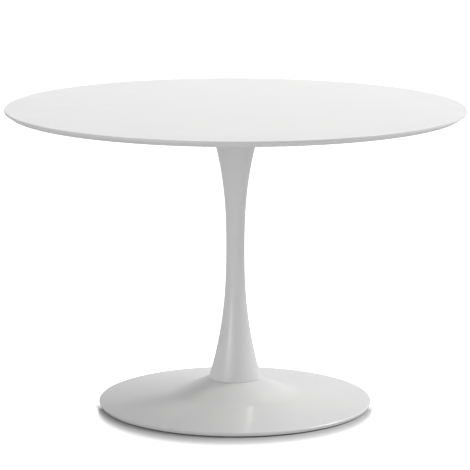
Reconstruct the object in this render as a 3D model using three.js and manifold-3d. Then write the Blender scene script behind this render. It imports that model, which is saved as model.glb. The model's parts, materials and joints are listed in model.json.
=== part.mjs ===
// A round pedestal table: a thin round top on a trumpet-shaped steel column, which stands on the
// collar of a wide pressed-steel base. One long tie rod down the middle clamps the stack together.
// Units are millimetres, +Z is up, and the origin is on the floor under the middle of the table.

import * as THREE from 'three';
import { mergeVertices } from 'three/addons/utils/BufferGeometryUtils.js';
import Module from 'manifold-3d';

// ---- Driving dimensions -------------------------------------------------------------------------

const TABLE_HEIGHT = 725;
const TOP_RADIUS = 550;
const TOP_THICKNESS = 15;
const BASE_RADIUS = 329.5;
const BASE_SHEET = 2.5;        // pressed steel of the base
const COLUMN_WALL = 2.5;
const WAIST_RADIUS = 22.4;     // the column's narrowest place
const WAIST_HEIGHT = 380;
const SEAM_RADIUS = 64;        // where the column stands on the base's collar
const SEAM_HEIGHT = 64;
const HEAD_RADIUS = 71;        // the column's flare under the top
const PLATE_RADIUS = 140;      // mounting plate under the top
const PLATE_THICKNESS = 4;
const ROD_RADIUS = 6;          // M12 tie rod
const GLIDE_CIRCLE = 235;      // radius of the circle that the levelling glides stand on
const GLIDE_COUNT = 4;
const GAP = 0.3;               // clearance between pieces that touch
const THREAD_GAP = 0.2;        // clearance of a thread in its tapped hole or nut
const SEAT_GAP = 0.1;          // clearance under a screw's head or a washer

// ---- Heights that follow from them --------------------------------------------------------------

const TOP_UNDERSIDE = TABLE_HEIGHT - TOP_THICKNESS;
const PLATE_TOP = TOP_UNDERSIDE - GAP;
const PLATE_BOTTOM = PLATE_TOP - PLATE_THICKNESS;
const COLUMN_TOP = PLATE_BOTTOM - GAP;
const COLUMN_BOTTOM = SEAM_HEIGHT + GAP;
const RIM_BOTTOM = 2.5;        // the rim hangs clear of the floor
const HEAD_RING_HEIGHT = 10;
const HEAD_PLATE_BOTTOM = COLUMN_TOP - 34;
const PLATE_STOCK = 6;         // thickness of the two plates inside the column

// ---- Materials ----------------------------------------------------------------------------------

function finish(colour, roughness, metalness) {
  return new THREE.MeshStandardMaterial({ color: colour, roughness, metalness });
}

const whiteLacquer = finish(0xf2f2f1, 0.45, 0);
const whitePaint = finish(0xeeeeee, 0.18, 0);
const zincSteel = finish(0xb9bcc0, 0.35, 1);
const rawSteel = finish(0x6f7276, 0.5, 1);
const castIron = finish(0x3a3b3d, 0.75, 0.6);
const blackNylon = finish(0x1b1b1c, 0.6, 0);

const table = new THREE.Group();

function place(name, geometry, material, x = 0, y = 0) {
  const mesh = new THREE.Mesh(geometry, material);
  mesh.name = name;
  mesh.position.set(x, y, 0);
  table.add(mesh);
}

// ---- Shape helpers ------------------------------------------------------------------------------

// A turned piece: a closed outline of [radius, height] points, spun about the Z axis.
function turned(outline, segments) {
  const points = outline.map(([radius, height]) => new THREE.Vector2(radius, height));
  points.push(points[0].clone());
  const geometry = new THREE.LatheGeometry(points, segments);
  geometry.rotateX(Math.PI / 2);
  return geometry;
}

// A turned piece without a bore: its outline starts and ends on the axis.
function turnedSolid(outline, segments) {
  const points = outline.map(([radius, height]) => new THREE.Vector2(radius, height));
  const geometry = new THREE.LatheGeometry(points, segments);
  geometry.rotateX(Math.PI / 2);
  return geometry;
}

// A disc or ring with square edges. Its bore is 0 when it has none.
function disc(radius, bore, bottom, top, segments) {
  if (bore === 0) {
    return turnedSolid([[0, bottom], [radius, bottom], [radius, top], [0, top]], segments);
  }
  return turned([[bore, bottom], [radius, bottom], [radius, top], [bore, top]], segments);
}

// Points along a quarter-round or other arc, for an outline. Angles are in degrees.
function arc(centreRadius, centreHeight, radius, from, to, count) {
  return evenly(from, to, count).map((degrees) => {
    const angle = THREE.MathUtils.degToRad(degrees);
    return [centreRadius + radius * Math.cos(angle), centreHeight + radius * Math.sin(angle)];
  });
}

// Even steps from one value to another, ends included.
function evenly(from, to, count) {
  return Array.from({ length: count + 1 }, (_, i) => from + (to - from) * i / count);
}

// Places evenly spread round a circle, as [x, y].
function ring(count, radius, firstAngle) {
  return Array.from({ length: count }, (_, i) => {
    const angle = firstAngle + 2 * Math.PI * i / count;
    return [radius * Math.cos(angle), radius * Math.sin(angle)];
  });
}

// ---- Booleans -----------------------------------------------------------------------------------

const wasm = await Module();
wasm.setup();

function toSolid(geometry) {
  const bare = geometry.clone();
  bare.deleteAttribute('normal');
  bare.deleteAttribute('uv');
  const merged = mergeVertices(bare, 1e-4);
  return new wasm.Manifold(new wasm.Mesh({
    numProp: 3,
    vertProperties: new Float32Array(merged.attributes.position.array),
    triVerts: new Uint32Array(merged.index.array),
  }));
}

function toGeometry(solid) {
  const mesh = solid.getMesh();
  const geometry = new THREE.BufferGeometry();
  geometry.setAttribute('position', new THREE.BufferAttribute(mesh.vertProperties, 3));
  geometry.setIndex(new THREE.BufferAttribute(mesh.triVerts, 1));
  return geometry;
}

function cut(geometry, cutters) {
  let solid = toSolid(geometry);
  for (const cutter of cutters) {
    solid = solid.subtract(toSolid(cutter));
  }
  return toGeometry(solid);
}

function join(geometries) {
  let solid = toSolid(geometries[0]);
  for (const geometry of geometries.slice(1)) {
    solid = solid.add(toSolid(geometry));
  }
  return toGeometry(solid);
}

function moved(geometry, x, y, z = 0) {
  return geometry.clone().translate(x, y, z);
}

// ---- Table top ----------------------------------------------------------------------------------

const SCREW_COUNT = 8;
const SCREW_CIRCLE = 118;
const SCREW_RADIUS = 2.2;
const SCREW_POINT = TOP_UNDERSIDE + 9;
const screwPlaces = ring(SCREW_COUNT, SCREW_CIRCLE, Math.PI / SCREW_COUNT);

function tableTop() {
  const land = 5.5;             // upright part of the edge
  const undercut = 13.5;        // how far the bevel runs in under the edge
  const softening = 0.8;        // rounding of the upper edge
  const slab = turnedSolid([
    [0, TOP_UNDERSIDE],
    [TOP_RADIUS - undercut, TOP_UNDERSIDE],
    [TOP_RADIUS, TABLE_HEIGHT - land],
    ...arc(TOP_RADIUS - softening, TABLE_HEIGHT - softening, softening, 0, 90, 3),
    [0, TABLE_HEIGHT],
  ], 128);
  const pilot = disc(SCREW_RADIUS + GAP, 0, TOP_UNDERSIDE - 1, SCREW_POINT + GAP, 10);
  return cut(slab, screwPlaces.map(([x, y]) => moved(pilot, x, y)));
}

place('table_top', tableTop(), whiteLacquer);

// ---- Mounting plate and its fasteners -----------------------------------------------------------

const BOLT_COUNT = 4;
const BOLT_CIRCLE = 54;
const BOLT_RADIUS = 3;          // M6 countersunk
const BOLT_HEAD_RADIUS = 6;
const BOLT_HEAD_DEPTH = 3;
const boltPlaces = ring(BOLT_COUNT, BOLT_CIRCLE, Math.PI / 4);

function mountingPlate() {
  const bore = 30;
  const lip = 0.6;              // edge softening
  const plate = turned([
    [bore, PLATE_BOTTOM],
    [PLATE_RADIUS - lip, PLATE_BOTTOM],
    [PLATE_RADIUS, PLATE_BOTTOM + lip],
    [PLATE_RADIUS, PLATE_TOP],
    [bore, PLATE_TOP],
  ], 64);
  const screwHole = disc(SCREW_RADIUS + GAP, 0, PLATE_BOTTOM - 1, PLATE_TOP + 1, 10);
  const boltHole = turnedSolid([
    [0, PLATE_BOTTOM - 1],
    [BOLT_RADIUS + GAP, PLATE_BOTTOM - 1],
    [BOLT_RADIUS + GAP, PLATE_TOP - BOLT_HEAD_DEPTH],
    [BOLT_HEAD_RADIUS + GAP, PLATE_TOP],
    [BOLT_HEAD_RADIUS + GAP, PLATE_TOP + 1],
    [0, PLATE_TOP + 1],
  ], 16);
  return cut(plate, [
    ...screwPlaces.map(([x, y]) => moved(screwHole, x, y)),
    ...boltPlaces.map(([x, y]) => moved(boltHole, x, y)),
  ]);
}

// A pan-head wood screw, driven up from below through the plate into the top.
function topScrew() {
  const headRadius = 4.4;
  const headBottom = PLATE_BOTTOM - 2.8;
  const headTop = PLATE_BOTTOM - SEAT_GAP;
  const crown = 1.6;            // how much the head is rounded
  const pointLength = 3;
  return turnedSolid([
    [0, headBottom],
    [headRadius - crown, headBottom],
    [headRadius, headBottom + crown],
    [headRadius, headTop],
    [SCREW_RADIUS, headTop],
    [SCREW_RADIUS, SCREW_POINT - pointLength],
    [0, SCREW_POINT],
  ], 10);
}

// A countersunk machine screw, driven down through the plate into the ring in the column's head.
function plateBolt() {
  const length = 12;
  return turnedSolid([
    [0, PLATE_TOP - length],
    [BOLT_RADIUS, PLATE_TOP - length],
    [BOLT_RADIUS, PLATE_TOP - BOLT_HEAD_DEPTH],
    [BOLT_HEAD_RADIUS, PLATE_TOP - SEAT_GAP],
    [0, PLATE_TOP - SEAT_GAP],
  ], 16);
}

place('mounting_plate', mountingPlate(), rawSteel);
screwPlaces.forEach(([x, y], i) => place(`top_screw_${i + 1}`, topScrew(), zincSteel, x, y));
boltPlaces.forEach(([x, y], i) => place(`plate_bolt_${i + 1}`, plateBolt(), zincSteel, x, y));

// ---- Column -------------------------------------------------------------------------------------

// The column's outside radius: it flares from the waist down to the seam and up to the head.
const FOOT_FLARE = 2.3;
const HEAD_FLARE = 2.5;

function columnRadius(height) {
  if (height < WAIST_HEIGHT) {
    const share = (WAIST_HEIGHT - height) / (WAIST_HEIGHT - SEAM_HEIGHT);
    return WAIST_RADIUS + (SEAM_RADIUS - WAIST_RADIUS) * share ** FOOT_FLARE;
  }
  const share = (height - WAIST_HEIGHT) / (COLUMN_TOP - WAIST_HEIGHT);
  return WAIST_RADIUS + (HEAD_RADIUS - WAIST_RADIUS) * share ** HEAD_FLARE;
}

// Its inside radius at the same height, allowing for the slope of the wall.
function boreRadius(height) {
  const slope = columnRadius(height + 0.5) - columnRadius(height - 0.5);
  return columnRadius(height) - COLUMN_WALL * Math.hypot(1, slope);
}

function columnShell() {
  const outside = [
    ...evenly(COLUMN_BOTTOM, WAIST_HEIGHT, 11),
    ...evenly(WAIST_HEIGHT, COLUMN_TOP, 10).slice(1),
  ];
  const inside = [
    ...evenly(COLUMN_TOP, WAIST_HEIGHT, 7),
    ...evenly(WAIST_HEIGHT, COLUMN_BOTTOM, 8).slice(1),
  ];
  return turned([
    ...outside.map((height) => [columnRadius(height), height]),
    ...inside.map((height) => [boreRadius(height), height]),
  ], 52);
}

// The ring welded inside the column's mouth, tapped for the plate bolts.
function headRing() {
  const bore = 42;
  const bottom = COLUMN_TOP - HEAD_RING_HEIGHT;
  const body = turned([
    [bore, bottom],
    [boreRadius(bottom) - 2 * GAP, bottom],
    [boreRadius(COLUMN_TOP) - 2 * GAP, COLUMN_TOP],
    [bore, COLUMN_TOP],
  ], 48);
  const tappedHole = disc(BOLT_RADIUS + THREAD_GAP, 0, bottom - 1, COLUMN_TOP + 1, 16);
  return cut(body, boltPlaces.map(([x, y]) => moved(tappedHole, x, y)));
}

const ROD_HOLE = ROD_RADIUS + 0.7;

// A plate welded across the column, with a clearance hole for the tie rod.
function headPlate() {
  const top = HEAD_PLATE_BOTTOM + PLATE_STOCK;
  return turned([
    [ROD_HOLE, HEAD_PLATE_BOTTOM],
    [boreRadius(HEAD_PLATE_BOTTOM) - 2 * GAP, HEAD_PLATE_BOTTOM],
    [boreRadius(top) - 2 * GAP, top],
    [ROD_HOLE, top],
  ], 48);
}

const LEDGE_BORE = 46;          // hole inside the collar's turned-in ledge

// The plate across the column's foot. Its spigot drops into the collar and centres the column.
function footPlate() {
  const top = COLUMN_BOTTOM + PLATE_STOCK;
  const spigotRadius = LEDGE_BORE - GAP;
  return turned([
    [ROD_HOLE, SEAM_HEIGHT - BASE_SHEET + GAP],
    [spigotRadius, SEAM_HEIGHT - BASE_SHEET + GAP],
    [spigotRadius, COLUMN_BOTTOM],
    [boreRadius(COLUMN_BOTTOM) - 2 * GAP, COLUMN_BOTTOM],
    [boreRadius(top) - 2 * GAP, top],
    [ROD_HOLE, top],
  ], 48);
}

place('column_shell', columnShell(), whitePaint);
place('column_head_ring', headRing(), rawSteel);
place('column_head_plate', headPlate(), rawSteel);
place('column_foot_plate', footPlate(), rawSteel);

// ---- Base ---------------------------------------------------------------------------------------

const CONE_SLOPE = 0.098;       // fall of the base's top face, per millimetre outwards
const CONE_APEX = 43.5;         // height that this face would reach on the axis
const COLLAR_SLOPE = 0.43;      // fall of the steeper collar round the column's foot
const COLLAR_HOLLOW = 17;       // half the width of the hollow where the collar meets the cone

function coneHeight(radius) {
  return CONE_APEX - CONE_SLOPE * radius;
}

// The two slopes cross here, in the middle of the hollow.
const COLLAR_EDGE = (SEAM_HEIGHT + COLLAR_SLOPE * SEAM_RADIUS - CONE_APEX)
  / (COLLAR_SLOPE - CONE_SLOPE);

// From the seam straight down the collar, then round the hollow into the cone.
function collarCurve(offset, count) {
  const start = COLLAR_EDGE - COLLAR_HOLLOW;
  const end = COLLAR_EDGE + COLLAR_HOLLOW;
  const hollow = new THREE.QuadraticBezierCurve(
    new THREE.Vector2(start, SEAM_HEIGHT - COLLAR_SLOPE * (start - SEAM_RADIUS) - offset),
    new THREE.Vector2(COLLAR_EDGE, coneHeight(COLLAR_EDGE) - offset),
    new THREE.Vector2(end, coneHeight(end) - offset),
  );
  return [
    [SEAM_RADIUS, SEAM_HEIGHT - offset],
    ...hollow.getPoints(count).map((point) => [point.x, point.y]),
  ];
}

const RIM_ROUND = 3;            // radius of the rim's rolled edge
const RIM_TUCK = 2.5;           // how far the rim's skirt leans in towards its lower edge

function baseShell() {
  const roundCentre = BASE_RADIUS - RIM_ROUND;
  const roundHeight = coneHeight(roundCentre) - RIM_ROUND;
  const innerRound = RIM_ROUND - BASE_SHEET;
  return turned([
    [LEDGE_BORE, SEAM_HEIGHT - BASE_SHEET],
    ...collarCurve(BASE_SHEET, 4),
    ...arc(roundCentre, roundHeight, innerRound, 84, 0, 2),
    [BASE_RADIUS - RIM_TUCK - BASE_SHEET, RIM_BOTTOM],
    [BASE_RADIUS - RIM_TUCK, RIM_BOTTOM],
    ...arc(roundCentre, roundHeight, RIM_ROUND, 0, 84, 4),
    ...collarCurve(0, 6).reverse(),
    [LEDGE_BORE, SEAM_HEIGHT],
  ], 76);
}

// The ballast's top face runs this far under the shell's.
const BALLAST_DROP = BASE_SHEET + 2 * GAP;
const HUB_EDGE = 125;           // the ballast is level inside this radius
const HUB_TOP = coneHeight(HUB_EDGE) - BALLAST_DROP;
const HUB_BOTTOM = HUB_TOP - 7;
const HUB_RADIUS = 66;
const BALLAST_RADIUS = 262;
const BALLAST_BOTTOM = 7;
const glidePlaces = ring(GLIDE_COUNT, GLIDE_CIRCLE, Math.PI / GLIDE_COUNT);
const STUD_RADIUS = 4;          // M8

// The cast weight under the pressed base. It carries the tie rod's nut and the four glides.
function ballast() {
  const recessEdge = 120;       // the underside slopes from here down to the heavy outer ring
  const ringStart = 212;
  const chamfer = 2;
  const body = turned([
    [ROD_HOLE, HUB_BOTTOM],
    [HUB_RADIUS, HUB_BOTTOM],
    [recessEdge, HUB_BOTTOM - 3],
    [ringStart, BALLAST_BOTTOM],
    [BALLAST_RADIUS - chamfer, BALLAST_BOTTOM],
    [BALLAST_RADIUS, BALLAST_BOTTOM + chamfer],
    [BALLAST_RADIUS, coneHeight(BALLAST_RADIUS) - BALLAST_DROP],
    [HUB_EDGE, HUB_TOP],
    [ROD_HOLE, HUB_TOP],
  ], 72);
  const tappedHole = disc(STUD_RADIUS + THREAD_GAP, 0, 0, SEAM_HEIGHT, 16);
  return cut(body, glidePlaces.map(([x, y]) => moved(tappedHole, x, y)));
}

// The tube that carries the clamping load from the collar's ledge down to the ballast.
function spacerTube() {
  const radius = 57;
  const wall = 7;
  return disc(radius, radius - wall, HUB_TOP + GAP, SEAM_HEIGHT - BASE_SHEET - GAP, 40);
}

place('base_shell', baseShell(), whitePaint);
place('spacer_tube', spacerTube(), rawSteel);
place('ballast', ballast(), castIron);

// ---- Tie rod and its fasteners ------------------------------------------------------------------

const WASHER_RADIUS = 12;
const WASHER_THICKNESS = 2.5;
const NUT_HEIGHT = 10.8;        // M12
const NUT_CORNER = 10.4;        // middle to corner
const UPPER_SEAT = HEAD_PLATE_BOTTOM + PLATE_STOCK;
const ROD_BOTTOM = 4.5;
const ROD_END = 3;              // thread that shows past the nut
const ROD_TOP = UPPER_SEAT + 2 * WASHER_THICKNESS + NUT_HEIGHT + ROD_END;

function tieRod() {
  const taper = 1;              // the chamfer at each end
  return turnedSolid([
    [0, ROD_BOTTOM],
    [ROD_RADIUS - taper, ROD_BOTTOM],
    [ROD_RADIUS, ROD_BOTTOM + taper],
    [ROD_RADIUS, ROD_TOP - taper],
    [ROD_RADIUS - taper, ROD_TOP],
    [0, ROD_TOP],
  ], 24);
}

// A nut is a six-sided disc around the rod.
function nut(bottom) {
  const body = disc(NUT_CORNER, 0, bottom, bottom + NUT_HEIGHT, 6);
  const thread = disc(ROD_RADIUS + THREAD_GAP, 0, bottom - 1, bottom + NUT_HEIGHT + 1, 24);
  return cut(body, [thread]);
}

// A spring washer is a thick ring with a narrow slit through it.
function springWasher(bottom) {
  const radius = 10.2;
  const bore = ROD_RADIUS + 0.4;
  const slitWidth = 1.2;
  const body = disc(radius, bore, bottom, bottom + WASHER_THICKNESS, 24);
  const slit = new THREE.BoxGeometry(2 * (radius - bore), slitWidth, 2 * WASHER_THICKNESS);
  return cut(body, [moved(slit, (radius + bore) / 2, 0, bottom + WASHER_THICKNESS / 2)]);
}

// Flat washer, spring washer and nut, going away from the seat in direction 1 (up) or -1 (down).
function nutStack(name, seat, direction) {
  const lower = (near, thickness) => (direction > 0 ? near : near - thickness);
  const flatNear = seat + direction * SEAT_GAP;
  const springNear = flatNear + direction * (WASHER_THICKNESS + SEAT_GAP);
  const nutNear = springNear + direction * (WASHER_THICKNESS + SEAT_GAP);
  const flatBottom = lower(flatNear, WASHER_THICKNESS);
  const bore = ROD_RADIUS + 0.5;
  const flat = disc(WASHER_RADIUS, bore, flatBottom, flatBottom + WASHER_THICKNESS, 28);
  place(`${name}_flat_washer`, flat, zincSteel);
  place(`${name}_spring_washer`, springWasher(lower(springNear, WASHER_THICKNESS)), zincSteel);
  place(`${name}_nut`, nut(lower(nutNear, NUT_HEIGHT)), zincSteel);
}

place('tie_rod', tieRod(), zincSteel);
nutStack('upper', UPPER_SEAT, 1);
nutStack('lower', HUB_BOTTOM, -1);

// ---- Levelling glides ---------------------------------------------------------------------------

// Screwed home, a glide's flange stops just under the ballast and the stud ends below the shell.
const FOOT_RADIUS = 17;
const FOOT_HEIGHT = 4;
const FLANGE_CORNER = 7.5;      // middle to corner of the hexagonal flange
const FLANGE_HEIGHT = 2.2;
const PIVOT_RADIUS = 2.5;       // the rivet end that turns in the foot
const PIVOT_BOTTOM = 1.5;

// The stud has a hexagonal flange for a spanner, and a rivet end that turns in the foot.
function glideStud() {
  const flangeBottom = FOOT_HEIGHT + GAP;
  const shoulder = flangeBottom + FLANGE_HEIGHT / 2;
  const studTop = coneHeight(GLIDE_CIRCLE) - BASE_SHEET - 1;
  const chamfer = 0.8;
  const shank = turnedSolid([
    [0, PIVOT_BOTTOM],
    [PIVOT_RADIUS, PIVOT_BOTTOM],
    [PIVOT_RADIUS, shoulder],
    [STUD_RADIUS, shoulder],
    [STUD_RADIUS, studTop - chamfer],
    [STUD_RADIUS - chamfer, studTop],
    [0, studTop],
  ], 16);
  const flange = disc(FLANGE_CORNER, 0, flangeBottom, flangeBottom + FLANGE_HEIGHT, 6);
  return join([shank, flange]);
}

// The swivel foot is a flat button with a socket for the stud's rivet end.
function glideFoot() {
  const socketRadius = PIVOT_RADIUS + 0.4;
  const socketFloor = PIVOT_BOTTOM - 0.4;
  const lowerEdge = 1;
  const shoulderDrop = 1.6;
  const shoulderWidth = 4;
  return turnedSolid([
    [0, 0],
    [FOOT_RADIUS - lowerEdge, 0],
    [FOOT_RADIUS, lowerEdge],
    [FOOT_RADIUS, FOOT_HEIGHT - shoulderDrop],
    [FOOT_RADIUS - shoulderWidth, FOOT_HEIGHT],
    [socketRadius, FOOT_HEIGHT],
    [socketRadius, socketFloor],
    [0, socketFloor],
  ], 32);
}

glidePlaces.forEach(([x, y], i) => {
  place(`glide_stud_${i + 1}`, glideStud(), zincSteel, x, y);
  place(`glide_foot_${i + 1}`, glideFoot(), blackNylon, x, y);
});

export default table;
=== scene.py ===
# %% [markdown]
# # A round pedestal table
# A thin round top stands on one trumpet-shaped column, and the column stands on a wide dished base.
# The fixed frame comes from the CAD model. This script gives it its looks: fine turned surfaces,
# threads, castings and finishes, then a plain floor, soft studio light and a camera.

import math

import bmesh
import bpy
from mathutils import Matrix, Vector
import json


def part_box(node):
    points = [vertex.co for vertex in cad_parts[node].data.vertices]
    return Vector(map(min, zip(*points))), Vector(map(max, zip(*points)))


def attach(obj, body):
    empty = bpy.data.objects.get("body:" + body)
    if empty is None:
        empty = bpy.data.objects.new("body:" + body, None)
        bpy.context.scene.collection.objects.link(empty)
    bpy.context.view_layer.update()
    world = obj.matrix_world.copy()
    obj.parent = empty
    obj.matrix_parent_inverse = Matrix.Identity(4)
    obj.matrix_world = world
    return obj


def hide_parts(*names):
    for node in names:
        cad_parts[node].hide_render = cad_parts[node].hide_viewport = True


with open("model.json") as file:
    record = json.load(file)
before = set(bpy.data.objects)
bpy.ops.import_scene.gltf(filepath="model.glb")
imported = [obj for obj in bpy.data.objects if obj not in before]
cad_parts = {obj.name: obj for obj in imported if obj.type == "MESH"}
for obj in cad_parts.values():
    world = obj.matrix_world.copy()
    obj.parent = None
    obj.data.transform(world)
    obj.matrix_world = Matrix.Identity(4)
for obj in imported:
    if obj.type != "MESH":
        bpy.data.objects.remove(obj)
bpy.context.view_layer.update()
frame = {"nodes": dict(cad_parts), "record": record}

# %% [markdown]
# ## The studio comes first
# The table stands on a white floor that runs back past the picture. A long lens from a little over
# six metres away keeps the ellipses of the top and the base flat and calm, as in a shop's picture.
# The lens is given by its focal length for a 36 mm wide sensor.

# %% Camera
CAMERA_DISTANCE = 6.219
CAMERA_HEIGHT = 1.583
CAMERA_ASIDE = -0.001
CAMERA_PITCH = 0.1857        # radians below level
CAMERA_ROLL = 0.0021
LENS = 201.6                 # millimetres
SENSOR = 36                  # millimetres
FARTHEST = 100

camera_data = bpy.data.cameras.new("studio_camera")
camera_data.sensor_width = SENSOR
camera_data.lens = LENS
camera_data.clip_end = FARTHEST
camera = bpy.data.objects.new("studio_camera", camera_data)
bpy.context.scene.collection.objects.link(camera)
camera.matrix_world = (
    Matrix.Translation((CAMERA_ASIDE, -CAMERA_DISTANCE, CAMERA_HEIGHT))
    @ Matrix.Rotation(math.pi / 2 - CAMERA_PITCH, 4, "X")
    @ Matrix.Rotation(CAMERA_ROLL, 4, "Z")
)
bpy.context.scene.camera = camera
print("camera at", tuple(round(v, 3) for v in camera.location))

# %% [markdown]
# ## Shader maths as ordinary expressions
# A Value wraps the output socket of a node, so `1 - mask * 0.2` adds the Math nodes that it needs.
# A Finish holds one material, and its `node` method adds any other node: its type, its settings,
# and the values or links of its sockets.

# %% Shader helpers
class Value:
    """The output of a shader node, which can be added, multiplied and so on."""

    def __init__(self, finish, socket):
        self.finish = finish
        self.socket = socket

    def maths(self, operation, first, second=0.0):
        return self.finish.maths_of(operation, first, second)

    def __add__(self, other):
        return self.maths("ADD", self, other)

    __radd__ = __add__

    def __mul__(self, other):
        return self.maths("MULTIPLY", self, other)

    __rmul__ = __mul__

    def __sub__(self, other):
        return self.maths("SUBTRACT", self, other)

    def __rsub__(self, other):
        return self.maths("SUBTRACT", other, self)


class Finish:
    """One material, built from nodes around a Principled shader."""

    def __init__(self, name, **fixed):
        self.material = bpy.data.materials.new(name)
        self.material.use_nodes = True
        self.tree = self.material.node_tree
        self.shader = self.tree.nodes["Principled BSDF"]
        for socket, value in fixed.items():
            self.shader.inputs[socket.replace("_", " ")].default_value = value
        self.place = self.node("ShaderNodeTexCoord", output="Object")

    def node(self, kind, settings=None, inputs=None, output=0):
        made = self.tree.nodes.new(kind)
        for name, setting in (settings or {}).items():
            if name == "stops":
                self.set_stops(made.color_ramp, setting)
            else:
                setattr(made, name, setting)
        for name, value in (inputs or {}).items():
            self.feed(made.inputs[name], value)
        return Value(self, made.outputs[output])

    def maths_of(self, operation, first, second=0.0):
        return self.node("ShaderNodeMath", {"operation": operation}, {0: first, 1: second})

    def feed(self, socket, value):
        if isinstance(value, Value):
            self.tree.links.new(value.socket, socket)
        else:
            socket.default_value = value

    @staticmethod
    def set_stops(ramp, stops):
        while len(ramp.elements) < len(stops):
            ramp.elements.new(1.0)
        for element, (position, level) in zip(ramp.elements, stops):
            element.position = position
            element.color = (level, level, level, 1)

    def noise(self, scale, detail=2.0, roughness=0.5, stretch=(1, 1, 1)):
        """Cloudy noise with a number of patches per metre, from about 0.3 to 0.7."""
        place = self.node("ShaderNodeMapping", inputs={"Vector": self.place, "Scale": stretch})
        inputs = {"Vector": place, "Scale": scale, "Detail": detail, "Roughness": roughness}
        return self.node("ShaderNodeTexNoise", inputs=inputs)

    def ramp(self, value, *stops):
        """A mask that follows the value through the given (position, level) stops."""
        return self.node("ShaderNodeValToRGB", {"stops": stops}, {"Fac": value})

    def blend(self, mask, first, second):
        """A colour between two, by a mask from 0 to 1."""
        inputs = {"Factor": mask, 6: first, 7: second}
        return self.node("ShaderNodeMix", {"data_type": "RGBA"}, inputs, output=2)

    def height(self):
        return self.node("ShaderNodeSeparateXYZ", inputs={0: self.place}, output=2)

    def radius(self):
        """Distance from the table's axis."""
        flat = self.node("ShaderNodeVectorMath", {"operation": "MULTIPLY"},
                         {0: self.place, 1: (1, 1, 0)})
        return self.node("ShaderNodeVectorMath", {"operation": "LENGTH"}, {0: flat},
                         output="Value")

    def bump(self, height, distance, strength=1.0, under=None):
        inputs = {"Height": height, "Distance": distance, "Strength": strength}
        if under is not None:
            inputs["Normal"] = under
        return self.node("ShaderNodeBump", inputs=inputs)

    def finish(self, colour, roughness, normal=None, metallic=None):
        self.feed(self.shader.inputs["Base Color"], colour)
        self.feed(self.shader.inputs["Roughness"], roughness)
        if normal is not None:
            self.feed(self.shader.inputs["Normal"], normal)
        if metallic is not None:
            self.feed(self.shader.inputs["Metallic"], metallic)
        return self.material


# %% [markdown]
# ## Finishes
# The top is sprayed with white lacquer and rubbed to a satin. It is never quite even: the spray
# leaves a very fine peel, cloths leave faint broad smears, and there are a few hair scratches.
# Its underside only has a sealing coat, so it is a little greyer and shows the board's mottle.

# %% White lacquer of the top
TOP_LOW, TOP_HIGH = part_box("table_top")


def white_lacquer():
    paint = Finish("white_lacquer", Specular_IOR_Level=0.5)
    peel = paint.noise(900, 2.0)
    smears = paint.noise(7, 3.0, stretch=(1, 2.2, 1))
    hairs = paint.ramp(paint.noise(90, 1.0, stretch=(1, 14, 1)), (0.70, 0), (0.76, 1))
    below = paint.ramp((paint.height() - TOP_LOW.z) * 500, (0.0, 1), (0.6, 0))
    board = paint.noise(260, 4.0, 0.7)
    cloud = paint.ramp(smears, (0.3, 0), (0.7, 1))
    face = paint.blend(cloud, (0.855, 0.857, 0.855, 1), (0.880, 0.880, 0.874, 1))
    sealed = paint.blend(paint.ramp(board, (0.3, 0), (0.7, 1)),
                         (0.70, 0.69, 0.67, 1), (0.79, 0.785, 0.77, 1))
    colour = paint.blend(below, face, sealed)
    roughness = 0.36 + cloud * 0.08 + hairs * 0.06 + below * 0.2
    fine = paint.bump(peel, 0.00003, 0.5)
    normal = paint.bump(board * below, 0.0002, 0.6, under=fine)
    return paint.finish(colour, roughness, normal)


# %% [markdown]
# The column and the base are sprayed and stoved with a hard glossy white. Gloss paint shows as a
# clear coat over a white ground. Close up it has a faint orange peel, the flat of the base holds a
# little dust, and shoes leave dull scuffs near the rim.

# %% Gloss paint of the column and the base
RIM_LOW, RIM_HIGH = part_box("base_shell")


def white_paint():
    paint = Finish("white_paint", Coat_Roughness=0.16, Specular_IOR_Level=0.5)
    peel = paint.noise(420, 1.5)
    patches = paint.ramp(paint.noise(16, 3.0), (0.35, 0), (0.7, 1))
    specks = paint.ramp(paint.noise(1500, 1.0), (0.68, 0), (0.74, 1))
    low = paint.ramp(paint.height() * 10, (0.25, 1), (0.75, 0))
    shoes = paint.ramp(paint.radius(), (0.26, 0), (0.33, 1))
    streaks = paint.ramp(paint.noise(60, 3.0, stretch=(1, 1, 8)), (0.58, 0), (0.7, 1))
    dust = low * specks * 0.5
    scuffs = shoes * streaks
    clean = paint.blend(patches, (0.840, 0.842, 0.842, 1), (0.862, 0.862, 0.858, 1))
    dusty = paint.blend(dust, clean, (0.70, 0.69, 0.67, 1))
    colour = paint.blend(scuffs * 0.12, dusty, (0.45, 0.45, 0.45, 1))
    roughness = 0.28 + patches * 0.06 + dust * 0.2 + scuffs * 0.1
    paint.feed(paint.shader.inputs["Coat Weight"], 0.4 - dust * 0.3 - scuffs * 0.2)
    return paint.finish(colour, roughness, paint.bump(peel, 0.00006, 0.35))


# %% [markdown]
# Fasteners are zinc plated: a pale, slightly blue metal with a soft mottle from the bath and fine
# turning lines. Inside plates keep their dark mill skin, and the ballast is raw sand-cast iron with
# a coarse grain and a few faint patches of rust. The glides' feet are moulded nylon.

# %% Zinc, plate steel, cast iron and nylon
def zinc_steel():
    metal = Finish("zinc_steel")
    bath = metal.noise(220, 3.0)
    lines = metal.noise(600, 1.0, stretch=(0.2, 0.2, 5))
    mottle = metal.ramp(bath, (0.3, 0), (0.7, 1))
    colour = metal.blend(mottle, (0.56, 0.58, 0.61, 1), (0.72, 0.72, 0.71, 1))
    roughness = 0.26 + mottle * 0.12 + lines * 0.08
    return metal.finish(colour, roughness, metal.bump(lines, 0.00003, 0.4), 0.95)


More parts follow.
